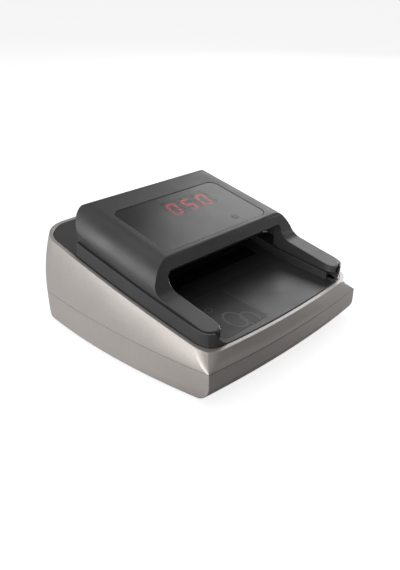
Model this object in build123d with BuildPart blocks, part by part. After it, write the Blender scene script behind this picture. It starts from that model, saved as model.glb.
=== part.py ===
from build123d import *
from collections import namedtuple
import math
import os

os.makedirs("parts", exist_ok=True)

# A desktop counterfeit bill detector. Millimetres, +Z up, +Y towards the back, the notes enter
# at the front (-Y). The origin is on the table, under the middle of the case.

# ---------------------------------------------------------------- heights and slopes of the case
FOOT_H = 1.5
BASE_Z = FOOT_H
BELLY_Z = 4.4
BREAK_Z = 9.6
SEAM_Z = 17.8
SEAM_GAP = 0.25
RIM_Z = 37.9
RIM_SLOPE = 0.1958
TOP_Z = 60.6
TOP_SLOPE = 0.215
WALL = 2.2
BASE_WALL = 3.8
RIM_LAND = 1.9
CASE_HALF = 70.0
TALL = 80.0
CLEAR = 0.3

# ---------------------------------------------------------------- note path
TRAY_FRONT_Y = -66.0
BEND_Y = -24.0
REAR_DECK_Y = 39.5
TRAY_FRONT_Z = 25.6
BEND_Z = 29.2
REAR_DECK_Z = 45.3
PLATE_T = 2.0
THROAT_HALF = 44.3
RAIL_HALF = 43.4
RAIL_T = 2.0
LEDGE_FRONT_Z = 29.1
LEDGE_BEND_Z = 34.2
LEDGE_REAR_Z = 48.6
LEDGE_END_Y = 27.5

# ---------------------------------------------------------------- deck
APRON_Y = -58.0
DECK_BACK_Y = 70.0
DECK_EDGE = 2.05
REAR_PLATE_T = 1.1
RIDGE_H = 7.3
RIDGE_FOOT = 2.2
RIDGE_INSET = 0.45
RIDGE_END_Y = 33.0
RIDGE_GAP = 0.35
RIDGE_TAPER = 8.4
SWEEP_L = 3.0
SHELF_DROP = 3.8
SHELF_W = 3.5
RECESS_DROP = 2.3
SEAT_FLANGE = 0.8

# ---------------------------------------------------------------- hood
HOOD_FRONT_Y = -22.3
BEAM_FOOT = (-24.9, 46.5)
BEAM_BACK_Y = -19.8
BEAM_EDGE_R = 3.0
THROAT_TOP_Z = 49.5
THROAT_AT_Y = -24.5
THROAT_R = 3.0
HOOD_FLAT_HALF = 41.0
HOOD_SIDE_HALF = 55.2
HOOD_SHOULDER = [(0.0, -22.0), (-1.9, -9.5), (-6.3, -3.1)]
REAR_EDGE_R = 2.5
LEG_TIP = (-60.2, 33.9)
LEG_NOSE = (-63.0, 29.9)
LEG_NOSE_R = 4.5
LEG_ROOT = (-31.0, 40.4)
LEG_BEND = (-26.9, 42.7)
LEG_FLARE_Y = -54.5
LEG_FLARE_END = (49.6, -63.4)
SKIN = 2.2
POST_R = 2.4
EXIT_RISE = 5.2

# ---------------------------------------------------------------- hinge
HINGE_Y = 31.5
HINGE_Z = 54.0
HINGE_PIN_R = 1.5
HINGE_CLEARANCE = 0.05
HINGE_LUG_R = 3.2
EAR_X = 48.4
EAR_T = 2.6
EAR_FRONT = 3.4
EAR_BACK = 2.0
LUG_IN = 50.2
LUG_OUT = 52.4
PIN_IN = 45.9

# ---------------------------------------------------------------- upper guide
GUIDE_GAP = 1.8
GUIDE_T = 1.6
GUIDE_HALF = 42.9
GUIDE_FRONT_Y = -19.4
FUNNEL_STEPS = [-19.4, -15.3, -11.2, -7.1, -3.0]
FUNNEL_POWER = 1.4
GUIDE_BACK_Y = 36.5
GUIDE_POSTS = [(-38.7, -17.2), (38.7, -17.2), (-38.7, 28), (38.7, 28)]
GUIDE_SCREW_R = 1.05
GUIDE_SCREW_L = 8.0

# ---------------------------------------------------------------- display
WINDOW_HALF = 38.7
WINDOW_FRONT_Y = -18.9
WINDOW_REAR_Y = 24.3
WINDOW_T = 1.2
WINDOW_GAP = 0.3
WINDOW_R = 5.0
WINDOW_SINK = 0.2
WINDOW_LEDGE = 2.5
DIGIT_H = 12.0
DIGIT_W = 7.0
DIGIT_PITCH = 11.5
DIGIT_LEAN = math.radians(8)
DIGIT_X = 7.6
DIGIT_MID = 12.2
DIGIT_LOW = -1.6
DIGIT_T = 0.3
SEGMENT_W = 1.5
SEGMENT_GAP = 0.3
SEGMENTS = {"0": "abcdef", "5": "acdfg"}
READING = "050"
DISPLAY_BOARD_DROP = 8.0
DISPLAY_BOARD = (80.0, 36.0)
DISPLAY_BOARD_MID = 3.8
DISPLAY_POSTS = [(-37.6, -5), (37.6, -5), (-37.6, 15), (37.6, 15)]
KEY_X = 18.7
KEY_MID = -12.2
KEY_R = 2.0
KEY_STEM_R = 1.2
KEY_COLLAR_R = 2.8
KEY_TRAVEL = 0.4
SWITCH_TOP = -5.0

# ---------------------------------------------------------------- drive
GEAR_MODULE = 0.8
PRESSURE_ANGLE = math.radians(20)
ADDENDUM = 0.8
DEDENDUM = 1.1
BACKLASH = 0.12
FLANK_STEPS = 4
CENTRE_SLACK = 0.08
PINION_TEETH = 12
WHEEL_TEETH = 30
SMALL_TEETH = 12
SHAFT_TEETH = 16
IDLER_TEETH = 14
GEAR_W = 3.0
GEAR_X = 46.1
WHEEL_W = 3.0
WHEEL_X = 49.8
HUB_R = 3.0
AXLE_R = 1.0
AXLE_SPARE = 0.6
SHAFT_R = 1.5
SHAFT_CLEARANCE = 0.05
SHAFT_START_X = -37.0
ROLLER_R = 6.0
ROLLER_W = 8.0
ROLLER_X = 22.0
ROLLER_PROUD = 0.3
ROLLER_GAP = 1.2
FRONT_ROLLER_S = 27.0
REAR_ROLLER_S = 44.0
BEARING_X = [-34.0, 34.0]
BEARING_T = 3.0
BEARING_R = 4.5
BUSH_R = 3.0
BUSH_FIT = 0.02
REDUCTION_DROP = (-0.6, -0.8)
MOTOR_LEAN = math.radians(8)
MOTOR_R = 8.5
MOTOR_L = 26.0
MOTOR_CAP_R = 2.5
MOTOR_CAP_L = 2.0
MOTOR_BORE_L = 6.2
SPINDLE_L = 6.0
GEAR_PLATE_X = 41.5
GEAR_PLATE_T = 1.2
PLATE_FOOT = (7.0, 38.0)
PINCH_R = 4.0
PINCH_AXLE_R = 1.2
PINCH_EAR_X = 31.0
PINCH_EAR_R = 2.6
SPRING_X = 28.0
SPRING_W = 3.0
SPRING_T = 0.3

# ---------------------------------------------------------------- sensors
SENSOR_S = 14.0
SENSOR_W = 70.0
SENSOR_D = 9.0
HEAD_S = 35.5
HEAD_W = 26.0
HEAD_D = 6.0
IR_X = 28.0
IR_W = 14.0
IR_D = 3.6
WINDOW_FIT = 0.2
FLUSH = 0.05
LED_SIZE = 3.5
LED_PITCH = 12.0
LED_COUNT = 6
SMALL_BOARD_T = 1.2

# ---------------------------------------------------------------- electronics and fixings
BOARD_Z = 9.0
BOARD_T = 1.6
BOARD_SIZE = (62.0, 70.0)
BOARD_CENTRE = (-19.0, 5.0)
BOARD_SCREWS = [(-45, -25), (7, -25), (-45, 35), (7, 35)]
CHIPS = {(-20, 8): (14, 14, 1.4), (-36, -4): (9, 6, 1.4)}
CONNECTORS = {(-44, 14): (4, 18, 5), (-20, -26): (22, 4, 5), (6, 14): (5, 14, 5)}
CAPACITORS = [(-4, 20), (-4, 8)]
CAPACITOR_R = 3.0
CAPACITOR_H = 8.0
BUZZER_AT = (-34, 24)
BUZZER_R = 5.5
BUZZER_H = 5.0
SCREW_R = 1.5
SCREW_HEAD_R = 2.8
SCREW_HEAD_H = 1.8
SCREW_SINK = 3.0
SCREW_BITE = 5.0
CASE_SCREWS = [(-48.5, -44), (48.5, -44), (-46, 47), (46, 47)]
CASE_SCREW_L = 9.0
CASE_BOSS_TOP = 15.0
BOSS_R = 3.6
FOOT_R = 5.0
FOOT_RECESS = 0.8
FEET = [(-36, -50), (36, -50), (-36, 57), (36, 57)]

# ---------------------------------------------------------------- rear panel
PORT_Z = 10.5
REAR_WALL_Y = 68.0
CUTOUT_L = 16.0
JACK_X = -26.0
JACK_R = 4.6
JACK_L = 12.0
JACK_FACE_Y = 69.2
JACK_BORE_R = 3.2
JACK_BORE_L = 9.0
JACK_PIN_R = 1.0
SWITCH_X = 26.0
SWITCH_W = 13.0
SWITCH_H = 8.4
SWITCH_L = 10.0
SWITCH_FACE_Y = 68.9
BEZEL = 1.0
ROCKER_Y = 66.0
ROCKER_TILT = 8.0
ROCKER_CREST = 2.2
ROCKER_EDGE = 3.0
ROCKER_BACK = -1.4
TRUNNION_R = 0.8

# ---------------------------------------------------------------- feed label
LABEL_AT = (-26.0, -19.5)
LABEL_SIZE = (32.0, 34.0)
LABEL_R = 2.5
LABEL_T = 0.1

UP_FROM = (Align.CENTER, Align.CENTER, Align.MIN)
BACK_FROM = (Align.CENTER, Align.MIN, Align.CENTER)
FRONT_FROM = (Align.CENTER, Align.MAX, Align.CENTER)


def rim_z(y):
    """Height of the rim plane at a depth."""
    return RIM_Z + RIM_SLOPE * y


def top_z(y):
    """Height of the hood's top plane at a depth."""
    return TOP_Z + TOP_SLOPE * y


def path_z(y, front, bend, rear):
    """Height at a depth on a line that bends once, as the note path does."""
    if y < BEND_Y:
        return bend + (front - bend) * (BEND_Y - y) / (BEND_Y - TRAY_FRONT_Y)
    return bend + (rear - bend) * (y - BEND_Y) / (REAR_DECK_Y - BEND_Y)


def floor_z(y):
    """Top of the surface that the notes slide on."""
    return path_z(y, TRAY_FRONT_Z, BEND_Z, REAR_DECK_Z)


def ledge_z(y):
    """Top of the ledges that the closed hood stands over."""
    return path_z(y, LEDGE_FRONT_Z, LEDGE_BEND_Z, LEDGE_REAR_Z)


def guide_z(y):
    """Underside of the upper guide: a funnel at the front, then parallel to the bed."""
    funnel_y = FUNNEL_STEPS[-1]
    level = floor_z(max(y, funnel_y)) + GUIDE_GAP
    if y >= funnel_y:
        return level
    reach = (funnel_y - y) / (funnel_y - GUIDE_FRONT_Y)
    lip = THROAT_TOP_Z - SMALL_BOARD_T - GUIDE_T
    return level + (lip - level) * reach ** FUNNEL_POWER


def sloped(y, z, slope):
    """A plane through (0, y, z) that rises towards the back."""
    length = math.hypot(1, slope)
    return Plane(origin=(0, y, z), x_dir=(1, 0, 0), z_dir=(0, -slope / length, 1 / length))


def rim_plane(rise):
    """The plane of the rim, or one parallel to it."""
    return sloped(0, RIM_Z + rise, RIM_SLOPE)


def upright_at(x, y, z):
    """A plane that faces +Y, for round pieces that point out of the back."""
    return Plane(origin=(x, y, z), z_dir=(0, 1, 0))


top_plane = sloped(0, TOP_Z, TOP_SLOPE)
bed_slope = (REAR_DECK_Z - BEND_Z) / (REAR_DECK_Y - BEND_Y)
bed_plane = sloped(BEND_Y, BEND_Z, bed_slope)
tray_plane = sloped(BEND_Y, BEND_Z, (BEND_Z - TRAY_FRONT_Z) / (BEND_Y - TRAY_FRONT_Y))
bed_run = Vector(0, 1, bed_slope).normalized()
window_mid = (WINDOW_FRONT_Y + WINDOW_REAR_Y) / 2 / top_plane.z_dir.Z
window_depth = (WINDOW_REAR_Y - WINDOW_FRONT_Y) / top_plane.z_dir.Z


def bed_point(along, above):
    """A point over the bed: a distance along it from the bend, and a height off it."""
    return Vector(0, BEND_Y, BEND_Z) + bed_run * along + bed_plane.z_dir * above


def bed_at(along, above):
    """The same point as (y, z)."""
    point = bed_point(along, above)
    return point.Y, point.Z


# ---------------------------------------------------------------- outlines of the case
Outline = namedtuple("Outline", "front_half front_y front_mid side_half side_y rear_half rear_y "
                                "rear_mid corner_reach corner_cut rear_radius")
BASE = Outline(59.4, -59.4, -61.8, 64.6, -4, 60.6, 63.6, 69.4, 1.0, 0, 15)
BELLY = Outline(59.8, -63.8, -66.8, 64.8, -4, 60.8, 63.9, 69.7, 1.0, 0, 15)
SEAM = Outline(60.0, -66.5, -70.0, 65.0, -4, 61.0, 64.2, 70.0, 1.0, 0, 15)
FLANK = Outline(59.2, -65.4, -68.9, 63.2, -4, 60.3, 65.4, 69.6, 6.0, 1.8, 17)
RIM = Outline(57.5, -63.9, -66.6, 59.5, -4, 57.4, 65.4, 67.4, 9.0, 2.9, 18)
HOOD = Outline(54.1, -60.7, -62.8, 54.8, -10, 53.8, 39.0, 39.8, 6.6, 2.3, 7)
RIDGE = Outline(55.6, -62.0, -64.2, 56.3, -10, 55.3, 40.4, 41.2, 7.8, 2.6, 8)


def outline(plane, shape, inset=0.0):
    """The case in plan, with bulging sides. Each front corner is two short arcs that meet in a
    crease, or one sharp corner where corner_cut is zero; the rear corners are rounded."""
    stretch = 1 / plane.z_dir.Z
    front_half = shape.front_half - inset
    side_half = shape.side_half - inset
    rear_half = shape.rear_half - inset
    front_y = (shape.front_y + inset) * stretch
    front_mid = (shape.front_mid + inset) * stretch
    side_y = shape.side_y * stretch
    rear_y = (shape.rear_y - inset) * stretch
    rear_mid = (shape.rear_mid - inset) * stretch
    crease = shape.corner_cut * math.sqrt(0.5)
    with BuildSketch(plane) as sketch:
        with BuildLine():
            front = ThreePointArc((-front_half, front_y), (0, front_mid), (front_half, front_y),
                                  mode=Mode.PRIVATE)
            side = ThreePointArc((front_half, front_y), (side_half, side_y), (rear_half, rear_y),
                                 mode=Mode.PRIVATE)
            near = shape.corner_reach / front.length
            far = shape.corner_reach / side.length
            nose = (front_half - crease, front_y + crease)
            left_nose = (-nose[0], nose[1])
            right_end = side @ far
            left_end = (-right_end.X, right_end.Y)
            add(front.trim(near, 1 - near))
            if crease:
                away = side % far
                TangentArc(front @ (1 - near), nose, tangent=front % (1 - near))
                TangentArc(right_end, nose, tangent=away * -1)
                TangentArc(front @ near, left_nose, tangent=(front % near) * -1)
                TangentArc(left_end, left_nose, tangent=(away.X, -away.Y))
            else:
                Line(front @ (1 - near), nose)
                Line(right_end, nose)
                Line(front @ near, left_nose)
                Line(left_end, left_nose)
            right_side = side.trim(far, 1)
            add(right_side)
            middle = right_side @ 0.5
            ThreePointArc(left_end, (-middle.X, middle.Y), (-rear_half, rear_y))
            ThreePointArc((-rear_half, rear_y), (0, rear_mid), (rear_half, rear_y))
        make_face()
        fillet(sketch.vertices().sort_by(Axis.Y)[-2:], shape.rear_radius - inset)
    return sketch.sketch


def outline_face(plane, shape, inset=0.0):
    return outline(plane, shape, inset).faces()[0]


def level_face(z, shape, inset=0.0):
    return outline_face(Plane.XY.offset(z), shape, inset)


# ---------------------------------------------------------------- shared shapes
def save(builder, name):
    """Label one finished piece and write its STEP file."""
    builder.part.label = name
    export_step(builder.part, f"parts/{name}.step")


def side_slab(points, half_width, centre=0.0, mode=Mode.ADD):
    """A side-view outline of (y, z) points, extruded both ways from a plane across the case."""
    with BuildSketch(Plane.YZ.offset(centre)) as profile:
        Polygon(*points, align=None)
    extrude(profile.sketch, amount=half_width, both=True, mode=mode)


def strip(points, thickness):
    """The side-view outline of a plate that lies under a line of points."""
    return points + [(y, z - thickness) for y, z in reversed(points)]


def within(shape, inset):
    """Keep only what lies inside an outline of the case."""
    extrude(level_face(0, shape, inset), amount=TALL, mode=Mode.INTERSECT)


def across(y, z, x=0.0):
    """A plane that faces +X, so that cylinders on it lie across the case."""
    return Plane(origin=(x, y, z), x_dir=(0, 1, 0), z_dir=(1, 0, 0))


def post(radius, height, mode=Mode.ADD):
    Cylinder(radius, height, align=UP_FROM, mode=mode)


def bar(radius, start, end, y, z, mode=Mode.ADD):
    """A round bar or hole across the case, between two x positions."""
    with Locations(across(y, z, start)):
        post(radius, end - start, mode)


def at_height(places, z):
    return Locations(*[(x, y, z) for x, y in places])


def upright(places, stages, name):
    """Upright round pieces; each stage is a radius between two heights."""
    with BuildPart() as pieces:
        for radius, low, high in stages:
            with at_height(places, low):
                post(radius, high - low)
    save(pieces, name)


def boxes(sizes, low, name):
    """Square pieces that stand on one level, each at its place with width, depth and height."""
    with BuildPart() as pieces:
        for (x, y), size in sizes.items():
            with Locations((x, y, low)):
                Box(*size, align=UP_FROM)
    save(pieces, name)


def top_block(x, y, width, depth, low, high, name, corner=0.0, holes=()):
    """A plate square to the hood's top, between two heights under it."""
    with BuildPart() as block:
        with BuildSketch(top_plane.offset(low)):
            with Locations((x, y)):
                if corner:
                    RectangleRounded(width, depth, corner)
                else:
                    Rectangle(width, depth)
            for hole_x, hole_y, radius in holes:
                with Locations((hole_x, hole_y)):
                    Circle(radius, mode=Mode.SUBTRACT)
        extrude(amount=high - low)
    save(block, name)


def top_pins(points, stages, name):
    """Round pieces square to the hood's top; each stage is a radius between two heights."""
    with BuildPart() as pins:
        for radius, low, high in stages:
            with BuildSketch(top_plane.offset(low)) as circles:
                with Locations(*points):
                    Circle(radius)
            extrude(circles.sketch, amount=high - low)
    save(pins, name)


def bed_block(places, width, depth, low, high, name):
    """Plates square to the bed, at (x, distance along it), between two heights over it."""
    with BuildPart() as block:
        with BuildSketch(bed_plane.offset(low)):
            with Locations(*places):
                Rectangle(width, depth)
        extrude(amount=high - low)
    save(block, name)


# ================================================================ case
def lower_shell():
    with BuildPart() as shell:
        waist = level_face(BREAK_Z, SEAM, 0.1)
        loft(sections=[level_face(BASE_Z, BASE), level_face(BELLY_Z, BELLY), waist])
        loft(sections=[waist, level_face(SEAM_Z - SEAM_GAP, SEAM)], ruled=True)
        extrude(level_face(BASE_Z + PLATE_T, BASE, BASE_WALL), amount=SEAM_Z, mode=Mode.SUBTRACT)
        extrude(level_face(BREAK_Z - 1, SEAM, WALL), amount=SEAM_Z, mode=Mode.SUBTRACT)
        with at_height(CASE_SCREWS, BASE_Z):
            post(BOSS_R + 0.6, CASE_BOSS_TOP - BASE_Z)
        with at_height(BOARD_SCREWS, BASE_Z):
            post(BOSS_R, BOARD_Z - BASE_Z)
        with at_height(CASE_SCREWS, BASE_Z):
            post(SCREW_R + 0.2, SEAM_Z, Mode.SUBTRACT)
            post(SCREW_HEAD_R + 0.4, SCREW_SINK, Mode.SUBTRACT)
        with at_height(BOARD_SCREWS, BOARD_Z - SCREW_BITE):
            post(SCREW_R + 0.05, SCREW_BITE, Mode.SUBTRACT)
        with at_height(FEET, BASE_Z):
            post(FOOT_R + 0.1, FOOT_RECESS, Mode.SUBTRACT)
        with Locations((SWITCH_X, REAR_WALL_Y, PORT_Z)):
            Box(SWITCH_W + 0.2, CUTOUT_L, SWITCH_H + 0.2, mode=Mode.SUBTRACT)
        with Locations((SWITCH_X, SWITCH_FACE_Y, PORT_Z)):
            Box(SWITCH_W + 2 * BEZEL + 0.2, 5, SWITCH_H + 2 * BEZEL + 0.2, align=BACK_FROM,
                mode=Mode.SUBTRACT)
        with Locations(upright_at(JACK_X, REAR_WALL_Y - CUTOUT_L / 2, PORT_Z)):
            post(JACK_R + 0.1, CUTOUT_L, Mode.SUBTRACT)
    save(shell, "lower_shell")


def upper_shell():
    """A tapering ring. A shelf inside its rim carries the edge of the deck."""
    shelf = rim_plane(-SHELF_DROP)
    middle = sloped(0, (SEAM_Z + RIM_Z) / 2, RIM_SLOPE / 2)
    with BuildPart() as shell:
        loft(sections=[level_face(SEAM_Z, SEAM), outline_face(middle, FLANK),
                       outline_face(rim_plane(0), RIM)])
        loft(sections=[level_face(SEAM_Z, SEAM, WALL), outline_face(middle, FLANK, WALL),
                       outline_face(shelf, RIM, WALL - 0.8)], mode=Mode.SUBTRACT)
        for drop, inset in ((SHELF_DROP, SHELF_W), (RECESS_DROP, RIM_LAND)):
            extrude(outline_face(rim_plane(-drop), RIM, inset), amount=10, dir=(0, 0, 1),
                    mode=Mode.SUBTRACT)
    save(shell, "upper_shell")


def bed_windows():
    """Windows through the bed for the drive rollers, the sensors and the magnetic head."""
    with BuildSketch(bed_plane.offset(-2 * PLATE_T)) as windows:
        for along in (FRONT_ROLLER_S, REAR_ROLLER_S):
            with Locations((-ROLLER_X, along), (ROLLER_X, along)):
                Rectangle(ROLLER_W + ROLLER_GAP, 2 * ROLLER_R - 1)
        with Locations((0, SENSOR_S)):
            Rectangle(SENSOR_W + WINDOW_FIT, SENSOR_D + WINDOW_FIT)
        with Locations((0, HEAD_S)):
            Rectangle(HEAD_W + WINDOW_FIT, HEAD_D + WINDOW_FIT)
        with Locations((-IR_X, HEAD_S), (IR_X, HEAD_S)):
            Rectangle(IR_W + WINDOW_FIT, IR_D + WINDOW_FIT)
    extrude(windows.sketch, amount=3 * PLATE_T, mode=Mode.SUBTRACT)


def deck_floor():
    """The tray, the bed and the rear plate that the notes slide over."""
    front = (TRAY_FRONT_Y - 1, floor_z(TRAY_FRONT_Y - 1))
    rear = [(REAR_DECK_Y, REAR_DECK_Z), (DECK_BACK_Y, rim_z(DECK_BACK_Y) - 0.2)]
    join_y = LEDGE_END_Y - PLATE_T
    with BuildPart() as floors:
        side_slab(strip([front, (BEND_Y, BEND_Z)] + rear, PLATE_T), RAIL_HALF + RAIL_T)
        side_slab(strip([front, (APRON_Y, floor_z(APRON_Y))], PLATE_T), CASE_HALF)
        side_slab(strip([(join_y, floor_z(join_y))] + rear, REAR_PLATE_T), CASE_HALF)
        within(RIM, DECK_EDGE)
        bed_windows()
    return floors.part


def deck_seats():
    """The ledges under the hood's sides, and the rails that guide the notes."""
    front = HOOD.front_mid - 1
    low = floor_z(LEDGE_END_Y) - PLATE_T
    high = ledge_z(LEDGE_END_Y) - 0.5
    join_y = LEDGE_END_Y - PLATE_T
    ledge = [(y, ledge_z(y)) for y in (front, BEND_Y, LEDGE_END_Y)]
    rail = ledge + [(y, floor_z(y) - PLATE_T) for y in (LEDGE_END_Y, BEND_Y, front)]
    end = [(join_y, low), (LEDGE_END_Y, low), (LEDGE_END_Y, high), (join_y, high)]
    half = (CASE_HALF - RAIL_HALF) / 2
    with BuildPart() as seats:
        for side in (-1, 1):
            side_slab(strip(ledge, PLATE_T), half, side * (RAIL_HALF + half))
            side_slab(end, half, side * (RAIL_HALF + half))
            side_slab(rail, RAIL_T / 2, side * (RAIL_HALF + RAIL_T / 2))
        within(HOOD, -SEAT_FLANGE)
    return seats.part


def deck_ridge():
    """The ridge that runs outside the closed hood."""
    with BuildPart() as ridge:
        loft(sections=[outline_face(rim_plane(-RIDGE_FOOT), RIM, RIM_LAND + RIDGE_INSET),
                       outline_face(rim_plane(RIDGE_H), RIDGE)], ruled=True)
        extrude(level_face(0, HOOD, -RIDGE_GAP), amount=TALL, mode=Mode.SUBTRACT)
        with Locations((0, RIDGE_END_Y, 0)):
            Box(4 * CASE_HALF, TALL, 4 * TALL, align=BACK_FROM, mode=Mode.SUBTRACT)
    return ridge.part


def deck_sides():
    """The ledges, the rails and the ridges outside them. Their front ends sweep down to the tray."""
    end_y = HOOD.front_y + SWEEP_L
    foot = (RAIL_HALF, TRAY_FRONT_Z + 0.4)
    top = (RAIL_HALF + RIDGE_TAPER, LEDGE_FRONT_Z + RIDGE_H)
    with BuildPart() as sides:
        add(deck_seats())
        add(deck_ridge())
        with BuildSketch(Plane.XZ.offset(-end_y)) as mouth:
            with BuildLine():
                Line((-foot[0], 0), (foot[0], 0))
                Line((foot[0], 0), foot)
                Spline(foot, top, tangents=((1, 0.35), (0.35, 1)))
                Polyline(top, (top[0], TALL), (-top[0], TALL), (-top[0], top[1]))
                Spline((-top[0], top[1]), (-foot[0], foot[1]), tangents=((0.35, -1), (1, -0.35)))
                Line((-foot[0], foot[1]), (-foot[0], 0))
            make_face()
        extrude(mouth.sketch, amount=TALL, mode=Mode.SUBTRACT)
    return sides.part


def hinge_ears():
    """Two ears for the hinge pins."""
    foot_z = floor_z(HINGE_Y) - 1.5
    back = HINGE_Y + EAR_BACK
    front = HINGE_Y - EAR_FRONT
    for side in (-1, 1):
        centre = side * EAR_X
        side_slab([(front, foot_z), (back, foot_z), (back, HINGE_Z), (front, HINGE_Z)], EAR_T / 2, centre)
        bar(HINGE_LUG_R, centre - EAR_T / 2, centre + EAR_T / 2, HINGE_Y - 0.2, HINGE_Z)
        bar(HINGE_PIN_R + HINGE_CLEARANCE, centre - EAR_T, centre + EAR_T, HINGE_Y, HINGE_Z,
            Mode.SUBTRACT)


def roller_bearings():
    """Bearing blocks under the bed, bored for the bushings of both drive shafts."""
    for along in (FRONT_ROLLER_S, REAR_ROLLER_S):
        y, z = bed_at(along, ROLLER_PROUD - ROLLER_R)
        for x in BEARING_X:
            with BuildSketch(across(y, z, x)) as block:
                with Locations((0, 2.6)):
                    Rectangle(2 * BEARING_R, 7.4)
                Circle(BEARING_R)
            extrude(block.sketch, amount=BEARING_T / 2, both=True)
            bar(BUSH_R + BUSH_FIT, x - BEARING_T, x + BEARING_T, y, z, Mode.SUBTRACT)


def deck():
    with BuildPart() as piece:
        add(deck_floor())
        add(deck_sides())
        for x, y in CASE_SCREWS:
            under = (ledge_z(y) if y < 0 else floor_z(y)) - PLATE_T / 2
            with Locations((x, y, CASE_BOSS_TOP)):
                post(BOSS_R, under - CASE_BOSS_TOP)
                post(SCREW_R + 0.05, CASE_SCREW_L, Mode.SUBTRACT)
        hinge_ears()
        roller_bearings()
    save(piece, "deck")


# ================================================================ hood
def hood_block(inset):
    """The hood's outside, or its inside when inset: plan, front outline and side outline in one."""
    side = HOOD_SIDE_HALF - inset
    rear = HOOD.rear_mid - inset
    drop = 40
    start = -90
    right = [(side + x, z) for x, z in HOOD_SHOULDER] + [(HOOD_FLAT_HALF, 0)]
    left = [(-x, z) for x, z in reversed(right)]
    edge_y = rear - REAR_EDGE_R
    with BuildPart() as block:
        extrude(level_face(15, HOOD, inset), amount=TALL)
        with BuildSketch(Plane(origin=(0, start, top_z(start) - inset), x_dir=(1, 0, 0),
                               z_dir=(0, -1, 0))) as front:
            with BuildLine():
                Polyline((-side, -drop), (side, -drop), right[0])
                Spline(*right, tangents=((-0.05, 1), (-1, 0)))
                Line(right[-1], left[0])
                Spline(*left, tangents=((-1, 0), (-0.05, -1)))
                Line(left[-1], (-side, -drop))
            make_face()
        extrude(front.sketch, amount=-2 * start, dir=(0, 1, TOP_SLOPE), mode=Mode.INTERSECT)
        with BuildSketch(Plane.YZ) as back_edge:
            with BuildLine():
                low = (rear, top_z(rear) - inset - REAR_EDGE_R)
                high = (edge_y, top_z(edge_y) - inset)
                Spline(low, high, tangents=((0, 1), (-1, -TOP_SLOPE)))
                Polyline(high, (edge_y, 2 * TALL), (2 * TALL, 2 * TALL), (2 * TALL, low[1]), low)
            make_face()
        extrude(back_edge.sketch, amount=CASE_HALF, both=True, mode=Mode.SUBTRACT)
    return block.part


def hood_hollow():
    """The space inside the hood, behind its front beam."""
    with BuildPart() as hollow:
        add(hood_block(SKIN))
        with Locations((0, BEAM_BACK_Y, 0)):
            Box(4 * CASE_HALF, 4 * TALL, 8 * TALL, align=FRONT_FROM, mode=Mode.SUBTRACT)
    return hollow.part


def over_legs():
    """What is cut away over the legs and ahead of the beam, in side view."""
    corner = Vector(HOOD_FRONT_Y, top_z(HOOD_FRONT_Y))
    up = (corner - Vector(*BEAM_FOOT)).normalized()
    back = Vector(1, TOP_SLOPE).normalized()
    reach = BEAM_EDGE_R * math.tan(math.radians(up.get_angle(back)) / 2)
    edge_low = corner - up * reach
    edge_high = corner + back * reach
    far = 85
    with BuildSketch(Plane.YZ) as profile:
        with BuildLine():
            Polyline((edge_high.X, edge_high.Y), (edge_high.X, far), (-far, far), (-far, LEG_NOSE[1]),
                     LEG_NOSE)
            RadiusArc(LEG_NOSE, LEG_TIP, LEG_NOSE_R)
            Line(LEG_TIP, LEG_ROOT)
            Spline(LEG_ROOT, LEG_BEND, BEAM_FOOT, tangents=((1, 0.25), (0.16, 1)))
            Line(BEAM_FOOT, (edge_low.X, edge_low.Y))
            TangentArc((edge_low.X, edge_low.Y), (edge_high.X, edge_high.Y), tangent=(up.X, up.Y))
        make_face()
    extrude(profile.sketch, amount=CASE_HALF, both=True, mode=Mode.SUBTRACT)


def throat():
    """The open way between the legs and under the beam, flared between the leg tips."""
    start = -TALL
    ceiling = THROAT_TOP_Z + TOP_SLOPE * (start - THROAT_AT_Y)
    with BuildSketch(Plane(origin=(0, start, ceiling), x_dir=(1, 0, 0), z_dir=(0, -1, 0))) as way:
        Rectangle(2 * THROAT_HALF, 60, align=(Align.CENTER, Align.MAX))
        fillet(way.vertices().group_by(Axis.Z)[-1], THROAT_R)
    extrude(way.sketch, amount=HOOD.rear_y - SKIN - start, dir=(0, 1, TOP_SLOPE), mode=Mode.SUBTRACT)
    with BuildSketch() as flare:
        with BuildLine():
            end = LEG_FLARE_END
            Spline((THROAT_HALF, LEG_FLARE_Y), end, tangents=((0, -1), (1, -0.6)))
            Polyline(end, (end[0], start), (-end[0], start), (-end[0], end[1]))
            Spline((-end[0], end[1]), (-THROAT_HALF, LEG_FLARE_Y), tangents=((1, 0.6), (0, 1)))
            Line((-THROAT_HALF, LEG_FLARE_Y), (THROAT_HALF, LEG_FLARE_Y))
        make_face()
    extrude(flare.sketch, amount=TALL, mode=Mode.SUBTRACT)


def display_seat():
    """The recess for the display window, and the opening under it."""
    for low, amount, ledge in ((-WINDOW_T, 5, 0), (-5, 8, WINDOW_LEDGE)):
        with BuildSketch(top_plane.offset(low)) as recess:
            with Locations((0, window_mid)):
                RectangleRounded(2 * (WINDOW_HALF - ledge), window_depth - 2 * ledge, WINDOW_R - ledge * 0.8)
        extrude(recess.sketch, amount=amount, mode=Mode.SUBTRACT)


def hood_posts():
    """Screw posts for the upper guide and for the display board."""
    for x, y in GUIDE_POSTS:
        low = max(guide_z(y - POST_R), guide_z(y + POST_R)) + GUIDE_T + 0.1
        with Locations((x, y, low)):
            post(POST_R, top_z(y) - 1.6 - low)
            post(GUIDE_SCREW_R, 7, Mode.SUBTRACT)
    for radius, amount, mode in ((POST_R, DISPLAY_BOARD_DROP - 1.7, Mode.ADD),
                                 (GUIDE_SCREW_R, 5, Mode.SUBTRACT)):
        with BuildSketch(top_plane.offset(-DISPLAY_BOARD_DROP)) as circles:
            with Locations(*DISPLAY_POSTS):
                Circle(radius)
        extrude(circles.sketch, amount=amount, mode=mode)


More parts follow.
